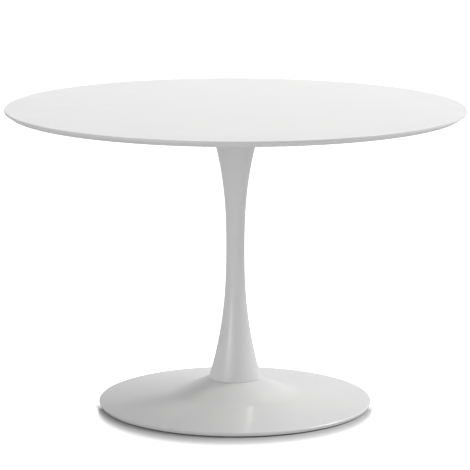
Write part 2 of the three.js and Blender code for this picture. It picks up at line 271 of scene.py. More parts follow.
def plate_steel():
    metal = Finish("plate_steel")
    skin = metal.noise(38, 5.0, 0.65)
    grain = metal.noise(900, 2.0)
    worn = metal.ramp(skin, (0.40, 0), (0.66, 1))
    colour = metal.blend(worn, (0.17, 0.175, 0.185, 1), (0.25, 0.25, 0.255, 1))
    roughness = 0.5 - worn * 0.12 + grain * 0.08
    return metal.finish(colour, roughness, metal.bump(grain, 0.00005, 0.5), 0.85)


def cast_iron():
    metal = Finish("cast_iron")
    sand = metal.noise(420, 5.0, 0.7)
    waves = metal.noise(24, 3.0)
    rust = metal.ramp(waves + sand * 0.6, (0.80, 0), (1.0, 1))
    colour = metal.blend(rust, (0.052, 0.053, 0.057, 1), (0.085, 0.064, 0.052, 1))
    roughness = 0.62 + rust * 0.22
    rough_skin = metal.bump(sand, 0.0005, 0.7)
    return metal.finish(colour, roughness, rough_skin, 0.7 - rust * 0.6)


def black_nylon():
    plastic = Finish("black_nylon")
    grain = plastic.noise(1400, 2.0)
    worn = plastic.ramp(plastic.height() * 1000, (0.0, 1), (0.5, 0))
    colour = plastic.blend(worn * grain, (0.022, 0.022, 0.024, 1), (0.16, 0.155, 0.15, 1))
    return plastic.finish(colour, 0.45 + worn * 0.25 + grain * 0.1,
                          plastic.bump(grain, 0.00005, 0.6))


FINISHES = {make.__name__: make() for make in
            (white_lacquer, white_paint, zinc_steel, plate_steel, cast_iron, black_nylon)}
print("finishes", sorted(FINISHES))

# %% [markdown]
# Every CAD node first gets the finish of its material slot. Each one is replaced by a finer piece
# further down, which takes the same finish.

# %% Finish the CAD nodes
SLOT_OF = {part["node"]: part["material_slot"] for part in frame["record"]["subparts"]}
for name, node in frame["nodes"].items():
    node.data.materials.clear()
    node.data.materials.append(FINISHES[SLOT_OF[name]])
print("finished", len(SLOT_OF), "nodes")

# %% [markdown]
# ## Turned pieces
# Almost everything here is round, so one helper does most of the work. It takes half an outline as
# points of radius and height, and Blender's spin operator sweeps it round the axis. Many narrow
# steps keep the table's rim a true circle, and smooth shading does the rest.

# %% Turning helper
TABLE = "table"
MERGE_DISTANCE = 1e-6
RIM_STEPS = 256              # steps of the widest rims; smaller pieces need fewer


def keep(name, mesh, body, nodes, slot, sharp=30):
    """Makes an object of a bmesh, shades and finishes it, and puts it in place of CAD nodes."""
    bmesh.ops.remove_doubles(mesh, verts=mesh.verts, dist=MERGE_DISTANCE)
    bmesh.ops.recalc_face_normals(mesh, faces=mesh.faces)
    data = bpy.data.meshes.new(name)
    mesh.to_mesh(data)
    mesh.free()
    data.shade_smooth()
    data.set_sharp_from_angle(angle=math.radians(sharp))
    data.materials.append(FINISHES[slot])
    piece = bpy.data.objects.new(name, data)
    bpy.context.scene.collection.objects.link(piece)
    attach(piece, body)
    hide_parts(*nodes)
    print(name, len(data.polygons), "faces")


def spin_outline(mesh, outline, steps, closed, middle=(0, 0, 0)):
    """Adds an outline of (radius, height) points to a bmesh and spins it round the Z axis."""
    points = [mesh.verts.new((middle[0] + r, middle[1], middle[2] + z)) for r, z in outline]
    pairs = list(zip(points, points[1:]))
    if closed:
        pairs.append((points[-1], points[0]))
    edges = [mesh.edges.new(pair) for pair in pairs]
    bmesh.ops.spin(mesh, geom=points + edges, cent=middle, axis=(0, 0, 1),
                   angle=math.tau, steps=steps, use_merge=True)


def arc(centre, radius, start, end, steps):
    """Points of an arc in an outline, from one angle in degrees to another."""
    angles = [math.radians(start + (end - start) * i / steps) for i in range(steps + 1)]
    return [(centre[0] + radius * math.cos(a), centre[1] + radius * math.sin(a)) for a in angles]


def between(start, end, steps):
    """Evenly spaced numbers, both ends included."""
    return [start + (end - start) * i / steps for i in range(steps + 1)]


# %% [markdown]
# ## The top
# A board 15 mm thick, turned on its edge. The upper arris is broken by a small round, a narrow
# upright land stands below it, and then the edge runs in underneath as a bevel, which makes the
# top look thinner than it is. The outline starts and ends on the axis, so the disc is closed.

# %% Table top
TOP_RADIUS = TOP_HIGH.x
LAND = 0.0055                # height of the upright edge
UNDERCUT = 0.0135            # how far the bevel runs in
ARRIS = 0.0012               # radius of the upper edge's round
LOWER_ARRIS = 0.0008

top = bmesh.new()
spin_outline(top, [
    (0, TOP_LOW.z),
    *[(r, TOP_LOW.z) for r in between(0.1, TOP_RADIUS - UNDERCUT - 0.001, 6)],
    (TOP_RADIUS - UNDERCUT + 0.0006, TOP_LOW.z + 0.0004),
    (TOP_RADIUS - LOWER_ARRIS * 0.7, TOP_HIGH.z - LAND - LOWER_ARRIS * 0.5),
    (TOP_RADIUS, TOP_HIGH.z - LAND + LOWER_ARRIS * 0.4),
    *arc((TOP_RADIUS - ARRIS, TOP_HIGH.z - ARRIS), ARRIS, 0, 90, 6),
    *[(r, TOP_HIGH.z) for r in between(TOP_RADIUS - 0.006, 0.1, 8)],
    (0, TOP_HIGH.z),
], RIM_STEPS, closed=False)
keep("lacquered_top", top, TABLE, ["table_top"], "white_lacquer")

# %% [markdown]
# ## The column
# The column is spun from steel tube. Its radius is smallest at the waist and grows towards both
# ends by a power of the distance, which gives the trumpet its slow start and quick finish. The
# wall's thickness is taken off along the slope, and the outer edge of each mouth is lightly broken.

# %% Column
COLUMN_LOW, COLUMN_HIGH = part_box("column_shell")
COLUMN_STEPS = 160
WAIST_RADIUS = 0.0224
WAIST_HEIGHT = 0.380
SEAM_RADIUS = 0.064
SEAM_HEIGHT = RIM_HIGH.z
HEAD_RADIUS = COLUMN_HIGH.x
FOOT_FLARE = 2.3
HEAD_FLARE = 2.5
WALL = 0.0025
MOUTH_BREAK = 0.0006
SLOPE_SPAN = 0.0002          # half the height over which a slope is measured


def column_radius(height):
    if height < WAIST_HEIGHT:
        share = (WAIST_HEIGHT - height) / (WAIST_HEIGHT - SEAM_HEIGHT)
        return WAIST_RADIUS + (SEAM_RADIUS - WAIST_RADIUS) * share ** FOOT_FLARE
    share = (height - WAIST_HEIGHT) / (COLUMN_HIGH.z - WAIST_HEIGHT)
    return WAIST_RADIUS + (HEAD_RADIUS - WAIST_RADIUS) * share ** HEAD_FLARE


def bore_radius(height):
    rise = column_radius(height + SLOPE_SPAN) - column_radius(height - SLOPE_SPAN)
    slope = rise / (2 * SLOPE_SPAN)
    return column_radius(height) - WALL * math.hypot(1, slope)


low, high = COLUMN_LOW.z + MOUTH_BREAK, COLUMN_HIGH.z - MOUTH_BREAK
column = bmesh.new()
spin_outline(column, [
    (column_radius(low) - MOUTH_BREAK * 1.2, COLUMN_LOW.z),
    *[(column_radius(z), z) for z in between(low, high, 110)],
    (column_radius(high) - MOUTH_BREAK, COLUMN_HIGH.z),
    (bore_radius(high), COLUMN_HIGH.z),
    *[(bore_radius(z), z) for z in between(high, low, 60)],
    (bore_radius(low), COLUMN_LOW.z),
], COLUMN_STEPS, closed=True)
keep("painted_column", column, TABLE, ["column_shell"], "white_paint")

# %% [markdown]
# ## The base
# One disc of steel pressed into a shallow cone. In the middle it rises in a steeper, straight-sided
# collar with a flat ledge on top for the column, and a soft hollow leads from the collar into the
# cone. The outer edge is rolled over into a low skirt that leans in, so no raw edge shows.

# %% Base
SHEET = 0.0025
CONE_SLOPE = 0.098
CONE_APEX = 0.0435           # height where the cone would meet the axis
COLLAR_SLOPE = 0.43
COLLAR_HOLLOW = 0.017        # how far the hollow reaches to each side of the collar's edge
COLLAR_EDGE = (SEAM_HEIGHT + COLLAR_SLOPE * SEAM_RADIUS - CONE_APEX) / (COLLAR_SLOPE - CONE_SLOPE)
BASE_RADIUS = RIM_HIGH.x
LEDGE_BORE = 0.046
RIM_ROUND = 0.003
RIM_TURN = 84                # degrees from the outermost point up to the cone
RIM_UNDER = -22              # degrees from the outermost point down to the skirt
RIM_TUCK = 0.0025            # the skirt leans in towards its lower edge
LEDGE_ROUND = 0.001


def cone_height(radius):
    return CONE_APEX - CONE_SLOPE * radius


def collar_height(radius):
    return SEAM_HEIGHT - COLLAR_SLOPE * (radius - SEAM_RADIUS)


def hollow(offset, steps):
    """A quadratic curve from the collar's slope into the cone's."""
    start, end = COLLAR_EDGE - COLLAR_HOLLOW, COLLAR_EDGE + COLLAR_HOLLOW
    first = Vector((start, collar_height(start) - offset))
    middle = Vector((COLLAR_EDGE, cone_height(COLLAR_EDGE) - offset))
    last = Vector((end, cone_height(end) - offset))
    shares = between(0, 1, steps)
    points = [first * (1 - t) ** 2 + middle * 2 * t * (1 - t) + last * t ** 2 for t in shares]
    return [tuple(point) for point in points]


round_centre = (BASE_RADIUS - RIM_ROUND, cone_height(BASE_RADIUS - RIM_ROUND) - RIM_ROUND)
collar_radii = between(COLLAR_EDGE - COLLAR_HOLLOW - 0.002, SEAM_RADIUS + LEDGE_ROUND, 6)
cone_radii = between(BASE_RADIUS - 0.012, COLLAR_EDGE + COLLAR_HOLLOW + 0.01, 8)
base = bmesh.new()
spin_outline(base, [
    (LEDGE_BORE, SEAM_HEIGHT - SHEET),
    (SEAM_RADIUS, SEAM_HEIGHT - SHEET),
    *hollow(SHEET, 12),
    *arc(round_centre, RIM_ROUND - SHEET, RIM_TURN, 0, 5),
    (BASE_RADIUS - RIM_TUCK - SHEET, RIM_LOW.z),
    (BASE_RADIUS - RIM_TUCK, RIM_LOW.z),
    *arc(round_centre, RIM_ROUND, RIM_UNDER, RIM_TURN, 12),
    *[(r, cone_height(r)) for r in cone_radii],
    *reversed(hollow(0, 24)),
    *[(r, collar_height(r)) for r in collar_radii],
    (SEAM_RADIUS + LEDGE_ROUND * 0.2, SEAM_HEIGHT - LEDGE_ROUND * 0.18),
    (SEAM_RADIUS - LEDGE_ROUND * 0.6, SEAM_HEIGHT),
    (LEDGE_BORE, SEAM_HEIGHT),
], RIM_STEPS, closed=True)
keep("pressed_base", base, TABLE, ["base_shell"], "white_paint")

# %% [markdown]
# ## Threads, holes and flats
# A few small helpers make the fasteners. A thread is a flat-topped ridge, spun several turns with a
# rise, so it winds up the shank as a closed tube. Holes and recesses are cut with a Boolean
# modifier. A hexagon is milled from a turned blank by six cuts, so the chamfer of the blank leaves
# the curved corners that a real nut has.

# %% Machining helpers
def wind(mesh, section, turns, rise, steps, start=0.0, middle=(0, 0)):
    """Spins a small closed section round an upright axis while it climbs, with both ends closed."""
    x, y = middle
    points = [mesh.verts.new((x + r, y, z)) for r, z in section]
    face = mesh.faces.new(points)
    turn = Matrix.Rotation(start, 4, "Z")
    bmesh.ops.rotate(mesh, verts=points, cent=(x, y, 0), matrix=turn)
    bmesh.ops.spin(mesh, geom=[face] + list(face.edges) + points, cent=(x, y, 0), axis=(0, 0, 1),
                   angle=math.tau * turns, steps=steps, dvec=(0, 0, rise / steps))


THREAD_DEPTH = 0.55          # as a share of the pitch, like the two below
THREAD_SUNK = 0.1            # how far the ridge reaches into its shank
CREST = (0.44, 0.56)


def add_thread(mesh, radius, pitch, low, high, middle=(0, 0), across=20):
    """A thread on a shank of the given outside radius, between two heights."""
    root = radius - pitch * THREAD_DEPTH - pitch * THREAD_SUNK
    turns = (high - low) / pitch - 1
    section = [(root, low), (radius, low + pitch * CREST[0]), (radius, low + pitch * CREST[1]),
               (root, low + pitch)]
    wind(mesh, section, turns, turns * pitch, max(2, round(turns * across)), middle=middle)


OVERCUT = 0.001              # how far a cutter stands clear of the surface it cuts
ON_PLANE = 1e-7


def blank(mesh):
    """Turns a bmesh into an object that a modifier can work on."""
    bmesh.ops.remove_doubles(mesh, verts=mesh.verts, dist=MERGE_DISTANCE)
    bmesh.ops.recalc_face_normals(mesh, faces=mesh.faces)
    data = bpy.data.meshes.new("blank")
    mesh.to_mesh(data)
    mesh.free()
    piece = bpy.data.objects.new("blank", data)
    bpy.context.scene.collection.objects.link(piece)
    return piece


def carve(mesh, cutter):
    """Cuts one bmesh out of another."""
    body, tool = blank(mesh), blank(cutter)
    cut = body.modifiers.new("cut", "BOOLEAN")
    cut.operation = "DIFFERENCE"
    cut.solver = "EXACT"
    cut.use_self = True
    cut.object = tool
    carved = bmesh.new()
    carved.from_object(body, bpy.context.evaluated_depsgraph_get())
    for used in (body, tool):
        data = used.data
        bpy.data.objects.remove(used)
        bpy.data.meshes.remove(data)
    return carved


def add_peg(mesh, radius, low, high, middle=(0, 0), sides=32, turn=0.0):
    """An upright cylinder or prism, used as a cutter."""
    place = (Matrix.Translation((middle[0], middle[1], (low + high) / 2))
             @ Matrix.Rotation(turn, 4, "Z"))
    bmesh.ops.create_cone(mesh, cap_ends=True, segments=sides, radius1=radius, radius2=radius,
                          depth=high - low, matrix=place)


def mill_hexagon(mesh, middle, flat):
    """Cuts six flats at the given distance from the axis, and closes each cut."""
    for side in range(6):
        angle = math.tau * side / 6
        facing = Vector((math.cos(angle), math.sin(angle), 0))
        everything = mesh.verts[:] + mesh.edges[:] + mesh.faces[:]
        cut = bmesh.ops.bisect_plane(mesh, geom=everything, dist=ON_PLANE, clear_outer=True,
                                     plane_co=Vector(middle) + facing * flat, plane_no=facing)
        rim = [part for part in cut["geom_cut"] if isinstance(part, bmesh.types.BMEdge)]
        bmesh.ops.holes_fill(mesh, edges=rim, sides=0)


def node_centre(name):
    """A CAD node's middle, its lowest height and its highest height."""
    low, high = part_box(name)
    return ((low.x + high.x) / 2, (low.y + high.y) / 2), low.z, high.z


# %% [markdown]
# ## Under the top
# A steel plate spreads the load over the board. Eight pan-head screws with cross recesses hold it
# up against the board, and four countersunk screws with hexagon sockets hold it on the column. The
# plate is drilled and countersunk like the real one.

# %% Mounting plate
PLATE_LOW, PLATE_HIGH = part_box("mounting_plate")
PLATE_STEPS = 128
PLATE_BORE = 0.030
BORE_BREAK = 0.0003
PLATE_EDGE = 0.0006
SCREW_COUNT = 8
BOLT_COUNT = 4
SCREW_HOLE = 0.0026
BOLT_HOLE = 0.0033
COUNTERSINK = 0.0063
COUNTERSINK_DEPTH = 0.003

plate = bmesh.new()
spin_outline(plate, [
    (PLATE_BORE, PLATE_LOW.z + BORE_BREAK),
    (PLATE_BORE + BORE_BREAK, PLATE_LOW.z),
    *[(r, PLATE_LOW.z) for r in between(0.05, 0.13, 4)],
    *arc((PLATE_HIGH.x - PLATE_EDGE, PLATE_LOW.z + PLATE_EDGE), PLATE_EDGE, -90, 0, 3),
    *arc((PLATE_HIGH.x - PLATE_EDGE, PLATE_HIGH.z - PLATE_EDGE), PLATE_EDGE, 0, 90, 3),
    *[(r, PLATE_HIGH.z) for r in between(0.13, 0.05, 4)],
    (PLATE_BORE, PLATE_HIGH.z),
], PLATE_STEPS, closed=True)
drills = bmesh.new()
for number in range(1, SCREW_COUNT + 1):
    middle, low, high = node_centre(f"top_screw_{number}")
    add_peg(drills, SCREW_HOLE, PLATE_LOW.z - OVERCUT, PLATE_HIGH.z + OVERCUT, middle, 24)
for number in range(1, BOLT_COUNT + 1):
    middle, low, high = node_centre(f"plate_bolt_{number}")
    outline = [(0, PLATE_LOW.z - OVERCUT), (BOLT_HOLE, PLATE_LOW.z - OVERCUT),
               (BOLT_HOLE, PLATE_HIGH.z - COUNTERSINK_DEPTH), (COUNTERSINK, PLATE_HIGH.z),
               (COUNTERSINK, PLATE_HIGH.z + OVERCUT), (0, PLATE_HIGH.z + OVERCUT)]
    spin_outline(drills, outline, 32, closed=False, middle=(*middle, 0))
keep("drilled_plate", carve(plate, drills), TABLE, ["mounting_plate"], "plate_steel")

# %% Screws into the board
SCREW_SHANK = 0.0022
SCREW_CORE = SCREW_SHANK - 0.0007
SCREW_PITCH = 0.0018
SCREW_POINT = 0.003          # length of the tapered tip
PAN_RADIUS = 0.0044
PAN_HEIGHT = 0.0027
PAN_ROUND = 0.0016
PAN_BREAK = 0.0002
RECESS_REACH = 0.0024
RECESS_WIDTH = 0.0008
RECESS_DEPTH = 0.0016


def pan_screw(number):
    node = f"top_screw_{number}"
    middle, low, high = node_centre(node)
    seat = low + PAN_HEIGHT
    head = bmesh.new()
    spin_outline(head, [
        (0, low),
        *arc((PAN_RADIUS - PAN_ROUND, low + PAN_ROUND), PAN_ROUND, -90, 0, 5),
        (PAN_RADIUS, seat - PAN_BREAK),
        (PAN_RADIUS - PAN_BREAK, seat),
        (SCREW_CORE, seat),
        (SCREW_CORE, high - SCREW_POINT),
        (0, high),
    ], 24, closed=False, middle=(*middle, 0))
    cross = bmesh.new()
    for turn in (0, math.pi / 2):
        slot = (Matrix.Translation((*middle, low)) @ Matrix.Rotation(turn, 4, "Z")
                @ Matrix.Diagonal((2 * RECESS_REACH, RECESS_WIDTH, 2 * RECESS_DEPTH, 1)))
        bmesh.ops.create_cube(cross, size=1, matrix=slot)
    screw = carve(head, cross)
    add_thread(screw, SCREW_SHANK, SCREW_PITCH, seat + 0.001, high - 0.002, middle, 14)
    keep(f"pan_screw_{number}", screw, TABLE, [node], "zinc_steel")


for number in range(1, SCREW_COUNT + 1):
    pan_screw(number)

# %% Countersunk screws into the column
SOCKET_RADIUS = 0.0023
SOCKET_DEPTH = 0.0022
SOCKET_TURN = 0.3            # radians by which each socket is turned from the last
BOLT_SHANK = 0.003
BOLT_CORE = BOLT_SHANK - 0.0005
BOLT_PITCH = 0.001
BOLT_HEAD = 0.0058
BOLT_HEAD_DEPTH = 0.0032


def countersunk_screw(number):
    node = f"plate_bolt_{number}"
    middle, low, high = node_centre(node)
    body = bmesh.new()
    spin_outline(body, [
        (0, low),
        (BOLT_CORE - 0.0005, low),
        (BOLT_CORE, low + 0.0006),
        (BOLT_CORE, high - BOLT_HEAD_DEPTH),
        (BOLT_HEAD, high - 0.0003),
        (BOLT_HEAD - 0.0001, high),
        (0, high),
    ], 32, closed=False, middle=(*middle, 0))
    socket = bmesh.new()
    add_peg(socket, SOCKET_RADIUS, high - SOCKET_DEPTH, high + OVERCUT, middle, 6,
            SOCKET_TURN * number)
    bolt = carve(body, socket)
    add_thread(bolt, BOLT_SHANK, BOLT_PITCH, low + 0.0004, high - 0.0034, middle, 16)
    keep(f"countersunk_screw_{number}", bolt, TABLE, [node], "zinc_steel")


for number in range(1, BOLT_COUNT + 1):
    countersunk_screw(number)

# %% [markdown]
# ## Inside the column
# A ring in the column's mouth takes the countersunk screws, and one plate near each end of the
# column takes the pull of the tie rod. All three are turned from plate with broken edges, and they
# follow the taper of the wall. The spacer tube under the ledge is a plain sawn tube.

# %% Ring, plates and tube
EDGE_BREAK = 0.0004
WELD_GAP = 0.0006            # between a plate and the column's wall
TAP_CLEARANCE = 0.0002
RING_STEPS = 96


def turned_ring(name, node, outline, slot="plate_steel", steps=RING_STEPS):
    ring = bmesh.new()
    spin_outline(ring, outline, steps, closed=True)
    keep(name, ring, TABLE, [node], slot)


def square_ring(inner, low_radius, high_radius, low, high, edge=EDGE_BREAK):
    """The outline of a ring whose outside may taper, with all four edges broken."""
    return [(inner, low + edge), (inner + edge, low), (low_radius - edge, low),
            (low_radius, low + edge), (high_radius, high - edge), (high_radius - edge, high),
            (inner + edge, high), (inner, high - edge)]


RING_LOW, RING_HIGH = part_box("column_head_ring")
RING_BORE = 0.042
ring_blank = bmesh.new()
outline = square_ring(RING_BORE, bore_radius(RING_LOW.z) - WELD_GAP, RING_HIGH.x,
                      RING_LOW.z, RING_HIGH.z)
spin_outline(ring_blank, outline, RING_STEPS, closed=True)
taps = bmesh.new()
for number in range(1, BOLT_COUNT + 1):
    middle, low, high = node_centre(f"plate_bolt_{number}")
    add_peg(taps, BOLT_SHANK + TAP_CLEARANCE, RING_LOW.z - OVERCUT, RING_HIGH.z + OVERCUT, middle, 24)
keep("tapped_ring", carve(ring_blank, taps), TABLE, ["column_head_ring"], "plate_steel")

ROD_HOLE = 0.0067
LOW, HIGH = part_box("column_head_plate")
turned_ring("upper_plate", "column_head_plate", square_ring(
    ROD_HOLE, bore_radius(LOW.z) - WELD_GAP, bore_radius(HIGH.z) - WELD_GAP, LOW.z, HIGH.z))
LOW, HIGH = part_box("column_foot_plate")
SPIGOT = LEDGE_BORE - 0.0003
turned_ring("lower_plate", "column_foot_plate", [
    (ROD_HOLE, LOW.z + EDGE_BREAK), (ROD_HOLE + EDGE_BREAK, LOW.z),
    (SPIGOT - EDGE_BREAK, LOW.z), (SPIGOT, LOW.z + EDGE_BREAK), (SPIGOT, COLUMN_LOW.z),
    (bore_radius(COLUMN_LOW.z) - WELD_GAP, COLUMN_LOW.z),
    (bore_radius(HIGH.z) - WELD_GAP, HIGH.z - EDGE_BREAK), (bore_radius(HIGH.z) - 0.001, HIGH.z),
    (ROD_HOLE + EDGE_BREAK, HIGH.z), (ROD_HOLE, HIGH.z - EDGE_BREAK)])
TUBE_WALL = 0.007
TUBE_BREAK = 0.0006
LOW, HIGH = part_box("spacer_tube")
turned_ring("sawn_tube", "spacer_tube", square_ring(
    HIGH.x - TUBE_WALL, HIGH.x, HIGH.x, LOW.z, HIGH.z, TUBE_BREAK))

# %% [markdown]
# ## The ballast
# The weight is a sand casting. Its lower outer edge is rounded, its other edges are broken, and the
# recess underneath is drafted. The thin hub in the middle takes the pull of the rod, and the thick
# outer ring carries the glides in four bored holes with shallow spot faces.

# %% Ballast
BALLAST_LOW, BALLAST_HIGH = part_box("ballast")
BALLAST_RADIUS = BALLAST_HIGH.x
HUB_THICK = 0.007
HUB_RADIUS = 0.066
RECESS_EDGE = 0.120
RING_START = 0.212
CAST_ROUND = 0.002
HUB_EDGE = 0.125             # where the flat top of the hub meets the slope under the cone
BELOW_CONE = cone_height(HUB_EDGE) - BALLAST_HIGH.z
STUD_BORE = 0.0042
STUD_BORE_TOP = 0.04
SPOT_FACE = 0.0095
SPOT_DEPTH = 0.0004
CAST_STEPS = 160
GLIDE_COUNT = 4
hub_low = BALLAST_HIGH.z - HUB_THICK
outer_top = cone_height(BALLAST_RADIUS) - BELOW_CONE

casting = bmesh.new()
spin_outline(casting, [
    (ROD_HOLE, hub_low),
    *[(r, hub_low) for r in between(0.03, HUB_RADIUS - 0.004, 3)],
    (HUB_RADIUS, hub_low - 0.0001),
    (RECESS_EDGE - 0.005, hub_low - 0.0027),
    (RECESS_EDGE, hub_low - 0.0031),
    (RECESS_EDGE + 0.005, hub_low - 0.0038),
    (RING_START - 0.006, BALLAST_LOW.z + 0.0009),
    (RING_START, BALLAST_LOW.z + 0.0002),
    (RING_START + 0.006, BALLAST_LOW.z),
    *arc((BALLAST_RADIUS - CAST_ROUND, BALLAST_LOW.z + CAST_ROUND), CAST_ROUND, -90, 0, 5),
    (BALLAST_RADIUS, outer_top - 0.001),
    (BALLAST_RADIUS - 0.001, outer_top),
    (HUB_EDGE + 0.010, cone_height(HUB_EDGE + 0.010) - BELOW_CONE),
    (HUB_EDGE - 0.002, BALLAST_HIGH.z),
    (ROD_HOLE, BALLAST_HIGH.z),
], CAST_STEPS, closed=True)
bores = bmesh.new()
for number in range(1, GLIDE_COUNT + 1):
    middle, low, high = node_centre(f"glide_stud_{number}")
    add_peg(bores, STUD_BORE, 0, STUD_BORE_TOP, middle, 24)
    add_peg(bores, SPOT_FACE, BALLAST_LOW.z - OVERCUT, BALLAST_LOW.z + SPOT_DEPTH, middle, 40)
keep("cast_weight", carve(casting, bores), TABLE, ["ballast"], "cast_iron")

# %% [markdown]
# ## Tie rod, washers and nuts
# The rod is plain along its length and threaded at both ends, as rods are when the thread is rolled
# only where it is needed. A flat washer spreads each nut's load, and a split spring washer keeps the
# nut from working loose.

# %% Rod and fasteners
ROD_LOW, ROD_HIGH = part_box("tie_rod")
ROD_RADIUS = 0.006
ROD_PITCH = 0.00175
ROD_BREAK = 0.0008
THREADED = 0.034             # length of each threaded end
RUN_OUT = 0.001
NUT_FLAT = 0.009             # from the axis to a flat
NUT_CHAMFER = 0.0009
NUT_BORE = 0.0062
NUT_MOUTH = 0.0069
NUT_BREAK = 0.0008

rod = bmesh.new()
root = ROD_RADIUS - ROD_PITCH * THREAD_DEPTH
spin_outline(rod, [
    (0, ROD_LOW.z),
    (root - ROD_BREAK, ROD_LOW.z),
    (root, ROD_LOW.z + ROD_BREAK),
    (root, ROD_LOW.z + THREADED),
    (ROD_RADIUS, ROD_LOW.z + THREADED + RUN_OUT),
    (ROD_RADIUS, ROD_HIGH.z - THREADED - RUN_OUT),
    (root, ROD_HIGH.z - THREADED),
    (root, ROD_HIGH.z - ROD_BREAK),
    (root - ROD_BREAK, ROD_HIGH.z),
    (0, ROD_HIGH.z),
], 32, closed=False)
add_thread(rod, ROD_RADIUS, ROD_PITCH, ROD_LOW.z + 0.0006, ROD_LOW.z + THREADED + RUN_OUT)
add_thread(rod, ROD_RADIUS, ROD_PITCH, ROD_HIGH.z - THREADED - RUN_OUT, ROD_HIGH.z - 0.0006)
keep("threaded_rod", rod, TABLE, ["tie_rod"], "zinc_steel")


def hexagon_nut(end):
    node = f"{end}_nut"
    middle, low, high = node_centre(node)
    corner = NUT_FLAT / math.cos(math.pi / 6)
    blank_nut = bmesh.new()
    spin_outline(blank_nut, [
        (NUT_BORE, low + NUT_BREAK),
        (NUT_MOUTH, low),
        (NUT_FLAT - 0.0002, low),
        (corner, low + NUT_CHAMFER),
        (corner, high - NUT_CHAMFER),
        (NUT_FLAT - 0.0002, high),
        (NUT_MOUTH, high),
        (NUT_BORE, high - NUT_BREAK),
    ], 72, closed=True)
    mill_hexagon(blank_nut, (0, 0, low), NUT_FLAT)
    keep(f"{end}_hexagon_nut", blank_nut, TABLE, [node], "zinc_steel", sharp=20)


SPLIT = 0.075                # half the split's angle, in radians
CLIMB = 0.0004
SPRING_BORE = 0.0064
SPRING_RADIUS = 0.0102
SPRING_BREAK = 0.0002
WASHER_BORE = 0.0065
WASHER_RADIUS = 0.012
WASHER_BREAK = 0.0003
WASHER_STEPS = 64


def split_washer(end):
    node = f"{end}_spring_washer"
    middle, low, high = node_centre(node)
    washer = bmesh.new()
    section = square_ring(SPRING_BORE, SPRING_RADIUS, SPRING_RADIUS, low, high - CLIMB, SPRING_BREAK)
    wind(washer, section, 1 - SPLIT / math.pi, CLIMB, 48, start=SPLIT)
    keep(f"{end}_split_washer", washer, TABLE, [node], "zinc_steel")


for end in ("upper", "lower"):
    hexagon_nut(end)
    split_washer(end)
    middle, low, high = node_centre(f"{end}_flat_washer")
    turned_ring(f"{end}_plain_washer", f"{end}_flat_washer",
                square_ring(WASHER_BORE, WASHER_RADIUS, WASHER_RADIUS, low, high, WASHER_BREAK),
                "zinc_steel", WASHER_STEPS)

# %% [markdown]
# ## Levelling glides
# Each glide is a moulded nylon button on a steel stud. The stud has a thin hexagonal flange for a
# spanner, and its rivet end turns in the button, so the button goes up and down but doesn't turn.
# The button rides on the sliding body and the stud on the turning one.

# %% Glides
STUD_RADIUS = 0.004
STUD_PITCH = 0.00125
STUD_BREAK = 0.0006
FLANGE_FLAT = 0.0064
FLANGE_CORNER = FLANGE_FLAT / math.cos(math.pi / 6)
FLANGE_CHAMFER = 0.0004
PEG_RADIUS = 0.0025
PEG_HEIGHT = 0.0028
FLANGE_TOP = 0.0050          # above the foot of the peg
POCKET_RADIUS = 0.0029
POCKET_FLOOR = 0.0011
POCKET_BREAK = 0.0003


def levelling_stud(number):
    node = f"glide_stud_{number}"
    middle, low, high = node_centre(node)
    flange_low, flange_high = low + PEG_HEIGHT, low + FLANGE_TOP
    flange = bmesh.new()
    spin_outline(flange, [
        (0, low),
        (PEG_RADIUS, low),
        (PEG_RADIUS, flange_low),
        (FLANGE_FLAT - 0.0002, flange_low),
        (FLANGE_CORNER, flange_low + FLANGE_CHAMFER),
        (FLANGE_CORNER, flange_high - FLANGE_CHAMFER),
        (FLANGE_FLAT - 0.0002, flange_high),
        (0, flange_high),
    ], 48, closed=False, middle=(*middle, 0))
    mill_hexagon(flange, (*middle, low), FLANGE_FLAT)
    stud_root = STUD_RADIUS - STUD_PITCH * THREAD_DEPTH
    spin_outline(flange, [
        (0, flange_high - 0.0005),
        (stud_root, flange_high - 0.0005),
        (stud_root, high - STUD_BREAK),
        (stud_root - STUD_BREAK, high),
        (0, high),
    ], 24, closed=False, middle=(*middle, 0))
    add_thread(flange, STUD_RADIUS, STUD_PITCH, flange_high - 0.0002, high - 0.0004, middle, 18)
    keep(f"levelling_stud_{number}", flange, f"stud_{number}", [node], "zinc_steel", 20)


def nylon_button(number):
    node = f"glide_foot_{number}"
    middle, low, high = node_centre(node)
    edge_low, edge_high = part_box(node)
    radius = (edge_high.x - edge_low.x) / 2
    button = bmesh.new()
    spin_outline(button, [
        (0, low),
        *[(r, low) for r in between(0.005, radius - 0.002, 3)],
        *arc((radius - 0.001, low + 0.001), 0.001, -80, 0, 4),
        *arc((radius - 0.0012, high - 0.0018), 0.0012, 0, 70, 4),
        (radius - 0.004, high - 0.0002),
        (radius - 0.005, high),
        (POCKET_RADIUS + POCKET_BREAK, high),
        (POCKET_RADIUS, high - POCKET_BREAK),
        (POCKET_RADIUS, low + POCKET_FLOOR),
        (0, low + POCKET_FLOOR),
    ], 64, closed=False, middle=(*middle, 0))
    keep(f"nylon_button_{number}", button, f"foot_{number}", [node], "black_nylon")


for number in range(1, GLIDE_COUNT + 1):
    levelling_stud(number)
    nylon_button(number)

# %% [markdown]
# ## Floor and light
# The floor is a plain white sheet, lit so that it stays white and only the shadow under the rim
# shows on it. A wide softbox hangs overhead. A second one, high on the right, throws the column's
# soft shadow over the base. A low fill in front lifts the undersides, and a narrow strip on the left
# draws a thin bright line down the column. The room itself is brighter along the walls than overhead.
#
# The floor and the room are pure white to the camera only. To all other rays the floor is a duller
# white, so it doesn't over-light the undersides. The white floor hardly takes a shadow, so the soft
# shade on the near side of the rim is part of the floor's own colour, in a fixed place.

